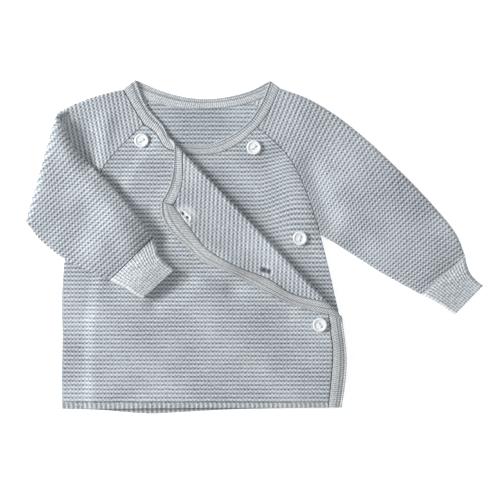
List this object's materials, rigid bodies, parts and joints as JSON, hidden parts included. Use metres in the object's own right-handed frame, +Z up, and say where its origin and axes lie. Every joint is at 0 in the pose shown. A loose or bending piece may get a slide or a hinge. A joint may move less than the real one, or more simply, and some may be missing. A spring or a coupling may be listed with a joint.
{
  "type": "baby wrap cardigan",
  "caption": "Knitted wrap-over baby cardigan laid flat, front edge turned back, one raglan sleeve folded across the body, ribbed trim and cuffs, pearly buttons",
  "frame": {"origin": "middle of the footprint, on the surface the cardigan lies on", "axes": "+X across the cardigan towards the stretched-out sleeve, +Y from hem to neck, +Z up out of the laid cloth"},
  "size_m": [0.3938, 0.287, 0.0148],
  "materials": {
    "knit": "pale grey-blue marled cotton, garter stitch",
    "cuff": "same yarn in a plain ribbed knit",
    "trim": "same yarn in a narrow ribbed band with a piped edge",
    "hem": "same yarn in a narrow looped edging",
    "button": "translucent pearly white, dished face with a raised rim"
  },
  "bodies": {
    "root": {"back_panel": "knit", "left_front": "knit", "right_front": "knit", "left_sleeve": "knit", "right_sleeve": "knit", "left_cuff": "cuff", "right_cuff": "cuff", "back_neckband": "trim", "left_neckband": "trim", "right_neckband": "trim", "left_edge_band": "trim", "right_edge_band": "trim", "back_hem": "hem", "left_front_hem": "hem", "right_front_hem": "hem", "button_right_neck": "button", "button_left_upper": "button", "button_left_middle": "button", "button_fastened": "button"}
  },
  "joints": []
}
